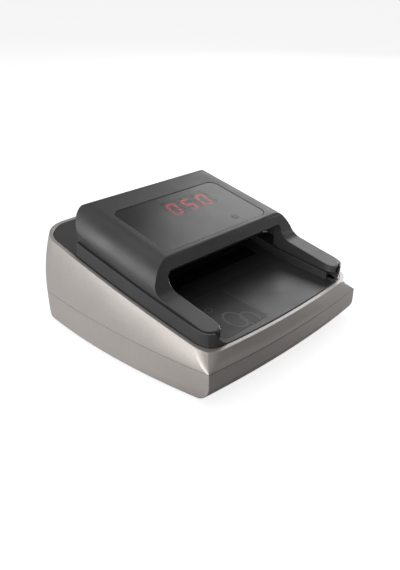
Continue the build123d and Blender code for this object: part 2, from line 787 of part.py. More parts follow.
def hood_cover():
    """The hinged cover with its two legs. The throat between the legs is open to the front."""
    with BuildPart() as cover:
        add(hood_block(0))
        over_legs()
        ledge = [(y, ledge_z(y) + CLEAR) for y in (-TALL, BEND_Y, TALL)]
        side_slab(ledge + [(TALL, 0), (-TALL, 0)], CASE_HALF, mode=Mode.SUBTRACT)
        throat()
        add(hood_hollow(), mode=Mode.SUBTRACT)
        with Locations((0, HOOD.rear_y, 0)):
            Box(2 * GUIDE_HALF, 12, 2 * (floor_z(HOOD.rear_y) + EXIT_RISE), mode=Mode.SUBTRACT)
        with Locations((-EAR_X, HOOD.rear_y, 0), (EAR_X, HOOD.rear_y, 0)):
            Box(EAR_T + 1, 12, 2 * HINGE_Z, mode=Mode.SUBTRACT)
        display_seat()
        hood_posts()
        for side in (-1, 1):
            start, end = sorted((side * LUG_IN, side * LUG_OUT))
            bar(HINGE_LUG_R, start, end, HINGE_Y, HINGE_Z)
            bar(HINGE_PIN_R, start - 1, end, HINGE_Y, HINGE_Z, Mode.SUBTRACT)
    save(cover, "hood_cover")


def upper_guide():
    line = [(y, guide_z(y) + GUIDE_T) for y in FUNNEL_STEPS + [GUIDE_BACK_Y]]
    with BuildPart() as guide:
        side_slab(strip(line, GUIDE_T), GUIDE_HALF)
        cheek = line + [(y, z + 1) for y, z in (line[-1], line[0])]
        for side in (-1, 1):
            side_slab(cheek, GUIDE_T / 2, side * (GUIDE_HALF - GUIDE_T / 2))
        with BuildSketch(bed_plane.offset(1)) as windows:
            for along in (FRONT_ROLLER_S, REAR_ROLLER_S):
                with Locations((-ROLLER_X, along), (ROLLER_X, along)):
                    Rectangle(ROLLER_W + ROLLER_GAP, 2 * PINCH_R + 1)
            with Locations((-IR_X, HEAD_S), (IR_X, HEAD_S)):
                Rectangle(IR_W + WINDOW_FIT, IR_D + WINDOW_FIT)
        extrude(windows.sketch, amount=5, mode=Mode.SUBTRACT)
        for along in (FRONT_ROLLER_S, REAR_ROLLER_S):
            y, z = bed_at(along, ROLLER_PROUD + CLEAR + PINCH_R)
            for x in (-PINCH_EAR_X, PINCH_EAR_X):
                with BuildSketch(across(y, z, x)) as ear:
                    with Locations((0, -0.6)):
                        Rectangle(6, 3.4)
                    Circle(PINCH_EAR_R)
                extrude(ear.sketch, amount=1, both=True)
                bar(PINCH_AXLE_R + SHAFT_CLEARANCE, x - 2, x + 2, y, z, Mode.SUBTRACT)
        for x, y in GUIDE_POSTS:
            with Locations((x, y, guide_z(y) - 2)):
                post(GUIDE_SCREW_R + 0.2, 8, Mode.SUBTRACT)
                post(GUIDE_SCREW_R + 1.3, 2.9, Mode.SUBTRACT)
    save(guide, "upper_guide")


# ================================================================ display
def segment_bar(key):
    """Middle, length and direction of one bar of a seven-segment digit."""
    half_w = (DIGIT_W - SEGMENT_W) / 2
    half_h = (DIGIT_H - SEGMENT_W) / 2
    middles = {"a": (0, half_h), "g": (0, 0), "d": (0, -half_h), "b": (half_w, half_h / 2),
               "c": (half_w, -half_h / 2), "e": (-half_w, -half_h / 2), "f": (-half_w, half_h / 2)}
    flat = key in "agd"
    return middles[key], (2 * half_w if flat else half_h) - SEGMENT_GAP, flat


def display_digits():
    lean = math.tan(DIGIT_LEAN)
    with BuildPart() as digits:
        with BuildSketch(top_plane.offset(DIGIT_LOW)):
            for index, digit in enumerate(READING):
                place_x = DIGIT_X + (index - 1) * DIGIT_PITCH
                for key in SEGMENTS[digit]:
                    (x, y), length, flat = segment_bar(key)
                    a, b = length / 2, SEGMENT_W / 2
                    corners = [(-a, 0), (b - a, b), (a - b, b), (a, 0), (a - b, -b), (b - a, -b)]
                    if not flat:
                        corners = [(v, u) for u, v in corners]
                    Polygon(*[(place_x + x + u + lean * (y + v), DIGIT_MID + y + v) for u, v in corners],
                            align=None)
        extrude(amount=DIGIT_T)
    save(digits, "display_digits")


def display():
    board_low = -DISPLAY_BOARD_DROP - BOARD_T
    top_block(0, window_mid, 2 * (WINDOW_HALF - WINDOW_GAP), window_depth - 2 * WINDOW_GAP, -WINDOW_T,
              -WINDOW_SINK, "display_window", WINDOW_R - WINDOW_GAP, [(KEY_X, KEY_MID, KEY_R + 0.15)])
    top_block(DIGIT_X, DIGIT_MID, 3 * DIGIT_PITCH + 3, DIGIT_H + 2.4, -DISPLAY_BOARD_DROP, DIGIT_LOW,
              "display_module")
    top_block(0, DISPLAY_BOARD_MID, *DISPLAY_BOARD, board_low, -DISPLAY_BOARD_DROP, "display_board", 1.5,
              [(x, y, GUIDE_SCREW_R + 0.1) for x, y in DISPLAY_POSTS])
    top_pins(DISPLAY_POSTS, [(2.0, board_low - 1.2, board_low), (GUIDE_SCREW_R, board_low, board_low + 5.5)],
             "display_screws")
    top_block(KEY_X, KEY_MID, 6, 4, -DISPLAY_BOARD_DROP, SWITCH_TOP, "mode_switch")
    top_pins([(KEY_X, KEY_MID)], [(KEY_STEM_R, SWITCH_TOP + KEY_TRAVEL + 0.1, -1.8),
                                  (KEY_COLLAR_R, -2.4, -1.7), (KEY_R, -1.7, -0.1)], "mode_key")


def hood_fixings():
    with BuildPart() as pins:
        for side in (-1, 1):
            start, end = sorted((side * PIN_IN, side * LUG_OUT))
            bar(HINGE_PIN_R, start, end, HINGE_Y, HINGE_Z)
    save(pins, "hinge_pins")
    with BuildPart() as screws:
        for x, y in GUIDE_POSTS:
            with Locations((x, y, guide_z(y) + 0.2)):
                post(GUIDE_SCREW_R + 1, 0.7)
                post(GUIDE_SCREW_R, GUIDE_SCREW_L)
    save(screws, "guide_screws")


# ================================================================ sensors
def sensors():
    under = -PLATE_T
    lid = GUIDE_GAP + FLUSH
    over = lid + GUIDE_T
    uv = [(0, SENSOR_S)]
    both_ir = [(-IR_X, HEAD_S), (IR_X, HEAD_S)]
    leds = [((i - (LED_COUNT - 1) / 2) * LED_PITCH, SENSOR_S) for i in range(LED_COUNT)]
    bed_block(uv, SENSOR_W, SENSOR_D, under, -FLUSH, "uv_window")
    bed_block(uv, SENSOR_W + 6, SENSOR_D + 3, under - 3.0, under - 1.6, "uv_board")
    bed_block(leds, LED_SIZE, LED_SIZE, under - 1.6, under - 0.4, "uv_leds")
    bed_block(both_ir, IR_W, IR_D, under, -FLUSH, "lower_ir_windows")
    bed_block(both_ir, IR_W + 2, IR_D + 0.8, under - 2.6, under - 1.4, "lower_ir_boards")
    bed_block([(0, HEAD_S)], HEAD_W, HEAD_D, under - 6, 0.15, "magnetic_head")
    bed_block(both_ir, IR_W, IR_D, lid, over, "upper_ir_windows")
    bed_block([(0, HEAD_S)], 2 * IR_X + IR_W + 2, 6, over + 2, over + 2 + SMALL_BOARD_T, "upper_ir_board")
    with BuildPart() as ir_leds:
        with BuildSketch(bed_plane.offset(over + 0.2)):
            with Locations(*[(x + dx, HEAD_S) for x in (-IR_X, IR_X) for dx in (-4, 4)]):
                Circle(1.5)
        extrude(amount=1.8)
    save(ir_leds, "upper_ir_leds")


# ================================================================ feed drive
def involute_angle(radius, base):
    if radius <= base:
        return 0.0
    slip = math.sqrt((radius / base) ** 2 - 1)
    return slip - math.atan(slip)


def gear_points(teeth, phase):
    """The outline of a spur gear about the origin. One tooth points along the phase angle."""
    pitch = teeth * GEAR_MODULE / 2
    base = pitch * math.cos(PRESSURE_ANGLE)
    root = pitch - DEDENDUM * GEAR_MODULE
    tip = pitch + ADDENDUM * GEAR_MODULE
    start = max(base, root)
    half_tooth = math.pi / (2 * teeth) - BACKLASH / (2 * pitch) + involute_angle(pitch, base)
    radii = [start + (tip - start) * i / FLANK_STEPS for i in range(FLANK_STEPS + 1)]
    flank = [(r, half_tooth - involute_angle(r, base)) for r in radii]
    if root < base:
        flank = [(root, flank[0][1])] + flank
    points = []
    for tooth in range(teeth):
        middle = phase + 2 * math.pi * tooth / teeth
        angles = [(r, middle - a) for r, a in flank] + [(r, middle + a) for r, a in reversed(flank)]
        points += [(r * math.cos(a), r * math.sin(a)) for r, a in angles]
    return points


def gear(at, x, teeth, phase, width, bore):
    """One spur gear from x outwards, on an axis across the case."""
    with BuildSketch(across(*at, x)) as face:
        Polygon(*gear_points(teeth, phase), align=None)
        Circle(bore, mode=Mode.SUBTRACT)
    extrude(face.sketch, amount=width)


def meshed_phase(driver, driver_teeth, driver_phase, follower, teeth):
    """The follower's phase that puts a gap of its teeth opposite a tooth of the driver."""
    angle = math.atan2(follower[1] - driver[1], follower[0] - driver[0])
    return angle + math.pi + math.pi / teeth - (driver_phase - angle) * driver_teeth / teeth


def centre_distance(teeth_a, teeth_b):
    return (teeth_a + teeth_b) * GEAR_MODULE / 2 + CENTRE_SLACK


front_at = bed_at(FRONT_ROLLER_S, ROLLER_PROUD - ROLLER_R)
rear_at = bed_at(REAR_ROLLER_S, ROLLER_PROUD - ROLLER_R)
half_span = (REAR_ROLLER_S - FRONT_ROLLER_S) / 2
idler_drop = math.sqrt(centre_distance(SHAFT_TEETH, IDLER_TEETH) ** 2 - half_span ** 2)
idler_at = bed_at(FRONT_ROLLER_S + half_span, ROLLER_PROUD - ROLLER_R - idler_drop)
small_step = centre_distance(SMALL_TEETH, SHAFT_TEETH)
reduction_at = tuple(c + small_step * d for c, d in zip(front_at, REDUCTION_DROP))
wheel_step = centre_distance(PINION_TEETH, WHEEL_TEETH)
motor_at = (reduction_at[0] - wheel_step * math.cos(MOTOR_LEAN),
            reduction_at[1] - wheel_step * math.sin(MOTOR_LEAN))

idler_phase = meshed_phase(front_at, SHAFT_TEETH, 0, idler_at, IDLER_TEETH)
rear_phase = meshed_phase(idler_at, IDLER_TEETH, idler_phase, rear_at, SHAFT_TEETH)
small_phase = meshed_phase(front_at, SHAFT_TEETH, 0, reduction_at, SMALL_TEETH)
pinion_phase = meshed_phase(reduction_at, WHEEL_TEETH, 0, motor_at, PINION_TEETH)


def roller_pair(name, at, radius, bore):
    """Two rollers on one shaft or axle."""
    with BuildPart() as rollers:
        for x in (-ROLLER_X, ROLLER_X):
            bar(radius, x - ROLLER_W / 2, x + ROLLER_W / 2, *at)
            bar(bore, x - ROLLER_W, x + ROLLER_W, *at, Mode.SUBTRACT)
    save(rollers, name)


def rod(name, radius, start, end, at):
    with BuildPart() as round_bar:
        bar(radius, start, end, *at)
    save(round_bar, name)


def drive_line(name, at, phase):
    """One drive shaft with its two rubber rollers and its gear."""
    rod(f"{name}_shaft", SHAFT_R, SHAFT_START_X, GEAR_X + GEAR_W, at)
    roller_pair(f"{name}_rollers", at, ROLLER_R, SHAFT_R)
    with BuildPart() as wheel:
        gear(at, GEAR_X, SHAFT_TEETH, phase, GEAR_W, SHAFT_R)
    save(wheel, f"{name}_gear")


def pinch_line(name, along):
    """A free-turning pressure roller pair over one drive line."""
    at = bed_at(along, ROLLER_PROUD + CLEAR + PINCH_R)
    end = PINCH_EAR_X + 2.5
    rod(f"{name}_pinch_axle", PINCH_AXLE_R, -end, end, at)
    roller_pair(f"{name}_pinch_rollers", at, PINCH_R, PINCH_AXLE_R)


def pinch_springs():
    """Leaf springs that stand on the upper guide and reach over the pressure roller axles."""
    foot = GUIDE_GAP + GUIDE_T + 0.45
    over = ROLLER_PROUD + CLEAR + PINCH_R + PINCH_AXLE_R + 0.45
    with BuildPart() as springs:
        for along, away in ((FRONT_ROLLER_S, -1), (REAR_ROLLER_S, 1)):
            bends = [(-1.5, over), (2.4, over), (3.6, foot), (5.0, foot)]
            upper = [bed_at(along + a * away, h) for a, h in bends]
            lower = [bed_at(along + (a - 0.1) * away, h - SPRING_T) for a, h in reversed(bends)]
            for side in (-1, 1):
                side_slab(upper + lower, SPRING_W / 2, side * SPRING_X)
    save(springs, "pinch_springs")


def gears():
    bore = AXLE_R + SHAFT_CLEARANCE
    with BuildPart() as idler:
        gear(idler_at, GEAR_X, IDLER_TEETH, idler_phase, GEAR_W, bore)
    save(idler, "idler_gear")
    with BuildPart() as reduction:
        gear(reduction_at, GEAR_X, SMALL_TEETH, small_phase, GEAR_W, bore)
        gear(reduction_at, WHEEL_X, WHEEL_TEETH, 0, WHEEL_W, bore)
        bar(HUB_R, GEAR_X + GEAR_W, WHEEL_X, *reduction_at)
        bar(bore, GEAR_X, WHEEL_X + WHEEL_W, *reduction_at, Mode.SUBTRACT)
    save(reduction, "reduction_gear")
    with BuildPart() as pinion:
        gear(motor_at, WHEEL_X, PINION_TEETH, pinion_phase, WHEEL_W, AXLE_R)
    save(pinion, "motor_pinion")
    with BuildPart() as axles:
        start = GEAR_PLATE_X + GEAR_PLATE_T
        for at, end in ((idler_at, GEAR_X + GEAR_W), (reduction_at, WHEEL_X + WHEEL_W)):
            bar(AXLE_R, start, end + AXLE_SPARE, *at)
            bar(AXLE_R + 1.2, start, GEAR_X - 0.2, *at)
    save(axles, "gear_axles")


def motor():
    end = GEAR_PLATE_X - MOTOR_L
    with BuildPart() as can:
        bar(MOTOR_R, end, GEAR_PLATE_X, *motor_at)
        bar(MOTOR_CAP_R, end - MOTOR_CAP_L, end, *motor_at)
        bar(AXLE_R + SHAFT_CLEARANCE, GEAR_PLATE_X - MOTOR_BORE_L, GEAR_PLATE_X, *motor_at, Mode.SUBTRACT)
    save(can, "motor")
    rod("motor_shaft", AXLE_R, GEAR_PLATE_X - SPINDLE_L, WHEEL_X + WHEEL_W, motor_at)


def gear_plate():
    """The bent plate that carries the motor and the gear axles."""
    floor = BASE_Z + PLATE_T
    front, back = motor_at[0] - 11, idler_at[0] + 6
    low_top, high_top = motor_at[1] + 7, idler_at[1] + 3
    with BuildPart() as plate:
        side_slab([(front, floor), (back, floor), (back, high_top), (back - 10, high_top),
                   (4, low_top), (front, low_top)], GEAR_PLATE_T / 2, GEAR_PLATE_X + GEAR_PLATE_T / 2)
        bar(3.5, GEAR_PLATE_X - 1, GEAR_PLATE_X + 3, *motor_at, Mode.SUBTRACT)
        with Locations((GEAR_PLATE_X, (motor_at[0] + idler_at[0]) / 2 - 1, floor)):
            Box(*PLATE_FOOT, GEAR_PLATE_T, align=(Align.MIN, Align.CENTER, Align.MIN))
    save(plate, "gear_plate")


def bushings():
    with BuildPart() as rings:
        for at in (front_at, rear_at):
            for x in BEARING_X:
                bar(BUSH_R, x - BEARING_T / 2, x + BEARING_T / 2, *at)
                bar(SHAFT_R + SHAFT_CLEARANCE, x - BEARING_T, x + BEARING_T, *at, Mode.SUBTRACT)
    save(rings, "shaft_bushings")


# ================================================================ electronics in the base
def electronics():
    board_top = BOARD_Z + BOARD_T
    with BuildPart() as board:
        with BuildSketch(Plane.XY.offset(BOARD_Z)):
            with Locations(BOARD_CENTRE):
                RectangleRounded(*BOARD_SIZE, 2)
            with Locations(*BOARD_SCREWS):
                Circle(SCREW_R + 0.2, mode=Mode.SUBTRACT)
        extrude(amount=BOARD_T)
    save(board, "main_board")
    upright(BOARD_SCREWS, [(SCREW_R, BOARD_Z - SCREW_BITE + 0.5, board_top),
                           (SCREW_HEAD_R, board_top, board_top + SCREW_HEAD_H)], "board_screws")
    boxes(CHIPS, board_top, "board_chips")
    boxes(CONNECTORS, board_top, "board_connectors")
    upright(CAPACITORS, [(CAPACITOR_R, board_top, board_top + CAPACITOR_H)], "board_capacitors")
    upright([BUZZER_AT], [(BUZZER_R, board_top, board_top + BUZZER_H)], "buzzer")


def dc_jack():
    mouth = upright_at(JACK_X, JACK_FACE_Y, PORT_Z)
    with BuildPart() as jack:
        with Locations(mouth.offset(-JACK_L)):
            post(JACK_R, JACK_L)
        with Locations(mouth.offset(-JACK_BORE_L)):
            post(JACK_BORE_R, JACK_BORE_L, Mode.SUBTRACT)
            post(JACK_PIN_R, JACK_BORE_L - 1)
    save(jack, "dc_jack")


def power_switch():
    """A rocker on two trunnions, in a housing with a bezel."""
    half = SWITCH_W / 2 - 1.5
    half_height = SWITCH_H / 2 - 1.3
    with BuildPart() as housing:
        with Locations((SWITCH_X, SWITCH_FACE_Y, PORT_Z)):
            Box(SWITCH_W, SWITCH_L, SWITCH_H, align=FRONT_FROM)
            Box(SWITCH_W + 2 * BEZEL, BEZEL, SWITCH_H + 2 * BEZEL, align=BACK_FROM)
        with Locations((SWITCH_X, SWITCH_FACE_Y + BEZEL, PORT_Z)):
            Box(SWITCH_W - 2 * BEZEL, 7, SWITCH_H - 2 * BEZEL, align=FRONT_FROM, mode=Mode.SUBTRACT)
        with Locations((SWITCH_X, ROCKER_Y, PORT_Z)):
            Cylinder(TRUNNION_R + 0.05, 2 * half_height + 1.9, mode=Mode.SUBTRACT)
    save(housing, "power_switch_housing")
    with BuildPart() as rocker:
        with BuildSketch(Plane(origin=(SWITCH_X, ROCKER_Y, PORT_Z)).rotated((0, 0, -ROCKER_TILT))) as side:
            Polygon((0, ROCKER_CREST), (-half, ROCKER_EDGE), (-half, ROCKER_BACK), (half, ROCKER_BACK),
                    (half, ROCKER_EDGE), align=None)
        extrude(side.sketch, amount=half_height, both=True)
        with Locations((SWITCH_X, ROCKER_Y, PORT_Z)):
            Cylinder(TRUNNION_R, 2 * half_height + 1.7)
    save(rocker, "power_rocker")


def base_fittings():
    seat = BASE_Z + SCREW_SINK
    upright(FEET, [(FOOT_R, 0, FOOT_H + FOOT_RECESS)], "rubber_feet")
    upright(CASE_SCREWS, [(SCREW_R, seat, CASE_BOSS_TOP + CASE_SCREW_L - 1),
                          (SCREW_HEAD_R, seat - SCREW_HEAD_H, seat)], "case_screws")
    with BuildPart() as label:
        with BuildSketch(tray_plane):
            with Locations(LABEL_AT):
                RectangleRounded(*LABEL_SIZE, LABEL_R)
        extrude(amount=LABEL_T)
    save(label, "feed_label")


# ================================================================ all pieces
lower_shell()
upper_shell()
deck()
hood_cover()
upper_guide()
display()
display_digits()
hood_fixings()
sensors()
drive_line("front", front_at, 0)
drive_line("rear", rear_at, rear_phase)
pinch_line("front", FRONT_ROLLER_S)
pinch_line("rear", REAR_ROLLER_S)
pinch_springs()
gears()
motor()
gear_plate()
bushings()
electronics()
dc_jack()
power_switch()
base_fittings()
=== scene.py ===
import bpy
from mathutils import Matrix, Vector


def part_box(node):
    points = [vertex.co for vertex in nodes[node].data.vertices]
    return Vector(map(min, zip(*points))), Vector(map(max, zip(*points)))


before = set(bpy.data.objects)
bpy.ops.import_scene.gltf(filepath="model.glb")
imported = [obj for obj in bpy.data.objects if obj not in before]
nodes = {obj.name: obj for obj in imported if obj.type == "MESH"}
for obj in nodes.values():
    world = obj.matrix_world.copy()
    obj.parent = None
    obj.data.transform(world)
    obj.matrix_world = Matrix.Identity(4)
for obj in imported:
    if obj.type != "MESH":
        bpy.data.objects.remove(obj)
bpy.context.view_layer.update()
scene = bpy.context.scene
MM = 0.001
WHITE = (1.0, 1.0, 1.0)

# ---------------------------------------------------------------- camera, in metres
CAMERA_PLACE = (-0.2307, -0.2254, 0.1788)
CAMERA_TARGET = (-0.0010, -0.0042, 0.0201)
CAMERA_SENSOR = 36.0
LENS_PER_LONG_SIDE = 632 / 570

# ---------------------------------------------------------------- room and floor
ROOM_BRIGHT = 0.45
ROOM_DIM = 0.04
ROOM_SPREAD = 1.2
SHOWN_WORLD = 1.0
FLOOR_REACH = 60.0
FLOOR_DROP = 0.0002
FLOOR_GLOW = 0.80
# painted shade: a round dark patch on the floor, seen only by rays other than the camera's
SHADE_PATCH_PLACE = (0.5, 1.1, 0.0)
SHADE_PATCH_SCALE = (9.0, 9.0, 9.0)
SHADE_PATCH_EDGE = 0.7

WARM = (1.0, 0.97, 0.94)
PALE_WARM = (1.0, 0.98, 0.96)
LIGHTS = (
    # name, place, target, size, power, tint
    ("key", (-1.0, -0.08, 0.26), (0, 0, 0.03), (0.8, 0.46), 3.4, WARM),
    ("left_rear", (-0.72, 0.60, 0.36), (0, 0, 0.05), (0.24, 0.24), 1.3, WHITE),
    ("left_front", (-0.95, -0.28, 0.05), (0, 0, 0.03), (0.26, 0.12), 3.2, PALE_WARM),
    ("top", (0.0, 0.1, 1.2), (0, 0, 0.03), (1.0, 1.0), 1.8, WHITE),
    ("right_back", (0.95, 0.36, 0.62), (0, 0, 0.04), (0.6, 0.6), 3.0, WHITE),
    ("right", (0.98, -0.05, 0.10), (0, 0, 0.02), (0.4, 0.16), 7.5, WHITE),
)

# ---------------------------------------------------------------- paint, window and label
PAINT_METAL = 0.55
PAINT_COAT = 0.25
FLAKES_PER_M = 5200.0
PAINT_EDGE = 0.5 * MM
ABS_EDGE = 0.45 * MM
BEVEL_SAMPLES = 6
WINDOW_IOR = 1.45
WINDOW_COVER = 0.86
DIGIT_MARGIN = 2.0 * MM
DIGIT_GLOW = 16.0
LABEL_BARS = ((-0.030, -0.027), (-0.012, -0.018))
LABEL_BAR_PITCH = 1.1 * MM
LABEL_LINE = ((-0.0105, -0.058), (-0.0101, -0.018))
LABEL_RINGS = (
    # centre, radii, inner share of the radius
    ((-0.026, -0.052), (0.0052, 0.0075), 0.86),
    ((-0.019, -0.056), (0.0045, 0.0062), 0.84),
    ((-0.030, -0.038), (0.0022, 0.0022), 0.70),
)


# ---------------------------------------------------------------- material tools
def new_material(name):
    """An empty node material and its output node."""
    material = bpy.data.materials.new(name)
    material.use_nodes = True
    tree = material.node_tree
    tree.nodes.clear()
    output = tree.nodes.new("ShaderNodeOutputMaterial")
    return material, tree, output


def node(tree, kind, inputs=None, **settings):
    """A shader node with its settings and input values."""
    made = tree.nodes.new(kind)
    for key, value in settings.items():
        setattr(made, key, value)
    for key, value in (inputs or {}).items():
        made.inputs[key].default_value = value
    return made


def colour(value):
    return (*value, 1.0)


def texture_space(tree, scale):
    """Object coordinates times a scale, so that grain has a real size."""
    place = node(tree, "ShaderNodeTexCoord")
    mapping = node(tree, "ShaderNodeMapping", {"Scale": (scale, scale, scale)})
    tree.links.new(place.outputs["Object"], mapping.inputs["Vector"])
    return mapping.outputs["Vector"]


def plan(tree):
    """The X, Y and Z of a point in the row frame."""
    place = node(tree, "ShaderNodeTexCoord")
    parts = node(tree, "ShaderNodeSeparateXYZ")
    tree.links.new(place.outputs["Object"], parts.inputs["Vector"])
    return parts.outputs


def combine(tree, operation, first, second):
    """Two values joined by one sum."""
    made = node(tree, "ShaderNodeMath", operation=operation)
    tree.links.new(first, made.inputs[0])
    tree.links.new(second, made.inputs[1])
    return made.outputs["Value"]


def noise(tree, scale, detail=4.0, roughness=0.55):
    found = node(tree, "ShaderNodeTexNoise", {"Scale": 1.0, "Detail": detail, "Roughness": roughness})
    tree.links.new(texture_space(tree, scale), found.inputs["Vector"])
    return found.outputs["Fac"]


def ramp(tree, source, low, high, from_low=0.3, from_high=0.7):
    """A value ramp between two numbers or two colours."""
    if isinstance(low, tuple):
        found = node(tree, "ShaderNodeValToRGB")
        found.color_ramp.elements[0].position = from_low
        found.color_ramp.elements[1].position = from_high
        found.color_ramp.elements[0].color = colour(low)
        found.color_ramp.elements[1].color = colour(high)
        tree.links.new(source, found.inputs["Fac"])
        return found.outputs["Color"]
    found = node(tree, "ShaderNodeMapRange", {"From Min": from_low, "From Max": from_high,
                                              "To Min": low, "To Max": high})
    tree.links.new(source, found.inputs["Value"])
    return found.outputs["Result"]


def bump(tree, height, strength, distance, normal=None):
    found = node(tree, "ShaderNodeBump", {"Strength": strength, "Distance": distance})
    tree.links.new(height, found.inputs["Height"])
    if normal is not None:
        tree.links.new(normal, found.inputs["Normal"])
    return found.outputs["Normal"]


def rounded_edge(tree, radius):
    return node(tree, "ShaderNodeBevel", {"Radius": radius}, samples=BEVEL_SAMPLES).outputs["Normal"]


def surface(name, dark, light, rough, grain, blotch=18.0, depth=0.02, bump_strength=0.15, metallic=0.0,
            sockets=None, round_edges=0.0):
    """The common build: mottled colour, mottled roughness and a fine bump, in real sizes."""
    material, tree, output = new_material(name)
    shader = node(tree, "ShaderNodeBsdfPrincipled", {"Metallic": metallic, **(sockets or {})})
    tree.links.new(ramp(tree, noise(tree, blotch), dark, light), shader.inputs["Base Color"])
    tree.links.new(ramp(tree, noise(tree, blotch * 2.3), rough[0], rough[1]), shader.inputs["Roughness"])
    edge = rounded_edge(tree, round_edges) if round_edges else None
    normal = bump(tree, noise(tree, grain, 2.0), bump_strength, depth * MM, edge)
    tree.links.new(normal, shader.inputs["Normal"])
    tree.links.new(shader.outputs["BSDF"], output.inputs["Surface"])
    return material


def assign(material, *names):
    for name in names:
        nodes[name].data.materials.clear()
        nodes[name].data.materials.append(material)


# ---------------------------------------------------------------- masks in plan
def band(tree, value, low, high, soft):
    """One between low and high, falling to nothing over a soft edge."""
    rise = ramp(tree, value, 0.0, 1.0, low - soft, low)
    fall = ramp(tree, value, 1.0, 0.0, high, high + soft)
    return combine(tree, "MULTIPLY", rise, fall)


def rectangle(tree, low, high, soft):
    at = plan(tree)
    return combine(tree, "MULTIPLY", band(tree, at["X"], low[0], high[0], soft),
                   band(tree, at["Y"], low[1], high[1], soft))


def ring(tree, centre, radii, inner):
    """An oval ring, from the inner share of its radius to the full radius."""
    place = node(tree, "ShaderNodeTexCoord")
    around = node(tree, "ShaderNodeMapping",
                  {"Location": (-centre[0] / radii[0], -centre[1] / radii[1], 0.0),
                   "Scale": (1.0 / radii[0], 1.0 / radii[1], 0.0)})
    length = node(tree, "ShaderNodeVectorMath", operation="LENGTH")
    tree.links.new(place.outputs["Object"], around.inputs["Vector"])
    tree.links.new(around.outputs["Vector"], length.inputs[0])
    return band(tree, length.outputs["Value"], inner, 1.0, 0.04)


def stripes(tree, mask, pitch):
    """The mask cut into lines running across, at the given pitch."""
    wrapped = node(tree, "ShaderNodeMath", {1: pitch}, operation="PINGPONG")
    tree.links.new(plan(tree)["Y"], wrapped.inputs[0])
    lines = ramp(tree, wrapped.outputs["Value"], 0.25, 1.0, 0.3 * pitch, 0.6 * pitch)
    return combine(tree, "MULTIPLY", lines, mask)


def strongest(tree, masks):
    found = masks[0]
    for mask in masks[1:]:
        found = combine(tree, "MAXIMUM", found, mask)
    return found


# ---------------------------------------------------------------- materials
def shell_paint():
    """Champagne-silver metallic paint: fine flakes under a satin clear coat."""
    material, tree, output = new_material("shell_paint")
    shader = node(tree, "ShaderNodeBsdfPrincipled",
                  {"Metallic": PAINT_METAL, "Coat Weight": PAINT_COAT, "Coat Roughness": 0.25})
    flakes = node(tree, "ShaderNodeTexVoronoi", {"Scale": 1.0})
    tree.links.new(texture_space(tree, FLAKES_PER_M), flakes.inputs["Vector"])
    sparkle = node(tree, "ShaderNodeSeparateColor")
    tree.links.new(flakes.outputs["Color"], sparkle.inputs["Color"])
    tone = ramp(tree, sparkle.outputs["Red"], (0.50, 0.468, 0.448), (0.60, 0.568, 0.548), 0.0, 1.0)
    cloud = ramp(tree, noise(tree, 14.0), (0.93, 0.93, 0.93), WHITE)
    mixed = node(tree, "ShaderNodeMix", {"Factor": 1.0}, data_type="RGBA", blend_type="MULTIPLY")
    tree.links.new(tone, mixed.inputs["A"])
    tree.links.new(cloud, mixed.inputs["B"])
    tree.links.new(mixed.outputs["Result"], shader.inputs["Base Color"])
    tree.links.new(ramp(tree, noise(tree, 60.0), 0.36, 0.44), shader.inputs["Roughness"])
    peel = bump(tree, noise(tree, 900.0, 2.0), 0.06, 0.02 * MM, rounded_edge(tree, PAINT_EDGE))
    tree.links.new(bump(tree, sparkle.outputs["Green"], 0.05, 0.004 * MM, peel), shader.inputs["Normal"])
    tree.links.new(shader.outputs["BSDF"], output.inputs["Surface"])
    return material


def black_abs():
    """Spark-textured black ABS moulding with a satin sheen."""
    return surface("black_abs", (0.028, 0.028, 0.030), (0.040, 0.040, 0.042), (0.36, 0.46), 2600.0, 22.0,
                   0.03, 0.22, round_edges=ABS_EDGE, sockets={"Specular IOR Level": 0.75})


def printed_label():
    """Dark plastic film with a generic pictogram printed in grey: a striped block, a line and rings."""
    material, tree, output = new_material("printed_label")
    shader = node(tree, "ShaderNodeBsdfPrincipled")
    bars = stripes(tree, rectangle(tree, *LABEL_BARS, 0.2 * MM), LABEL_BAR_PITCH)
    line = rectangle(tree, *LABEL_LINE, 0.1 * MM)
    inked = strongest(tree, [bars, line, *(ring(tree, *shape) for shape in LABEL_RINGS)])
    film = ramp(tree, noise(tree, 40.0), (0.028, 0.028, 0.030), (0.036, 0.036, 0.038))
    ink = ramp(tree, noise(tree, 500.0), (0.085, 0.085, 0.085), (0.11, 0.11, 0.11))
    mixed = node(tree, "ShaderNodeMix", data_type="RGBA")
    tree.links.new(inked, mixed.inputs["Factor"])
    tree.links.new(film, mixed.inputs["A"])
    tree.links.new(ink, mixed.inputs["B"])
    tree.links.new(mixed.outputs["Result"], shader.inputs["Base Color"])
    tree.links.new(ramp(tree, noise(tree, 60.0), 0.38, 0.48), shader.inputs["Roughness"])
    tree.links.new(bump(tree, noise(tree, 2600.0, 2.0), 0.15, 0.02 * MM), shader.inputs["Normal"])
    tree.links.new(shader.outputs["BSDF"], output.inputs["Surface"])
    return material


def smoked_window():
    """Smoked acrylic, printed black behind and thinned only over the lit digits."""
    material, tree, output = new_material("smoked_window")
    shader = node(tree, "ShaderNodeBsdfPrincipled", {"IOR": WINDOW_IOR})
    tree.links.new(ramp(tree, noise(tree, 9.0), (0.010, 0.010, 0.011), (0.016, 0.016, 0.017)),
                   shader.inputs["Base Color"])
    tree.links.new(ramp(tree, noise(tree, 60.0, 2.0), 0.22, 0.27), shader.inputs["Roughness"])
    shown = rectangle(tree, *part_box("display_digits"), DIGIT_MARGIN)
    tree.links.new(ramp(tree, shown, 1.0, WINDOW_COVER, 0.0, 1.0), shader.inputs["Alpha"])
    tree.links.new(bump(tree, noise(tree, 150.0, 1.0), 0.02, 0.01 * MM), shader.inputs["Normal"])
    tree.links.new(shader.outputs["BSDF"], output.inputs["Surface"])
    return material


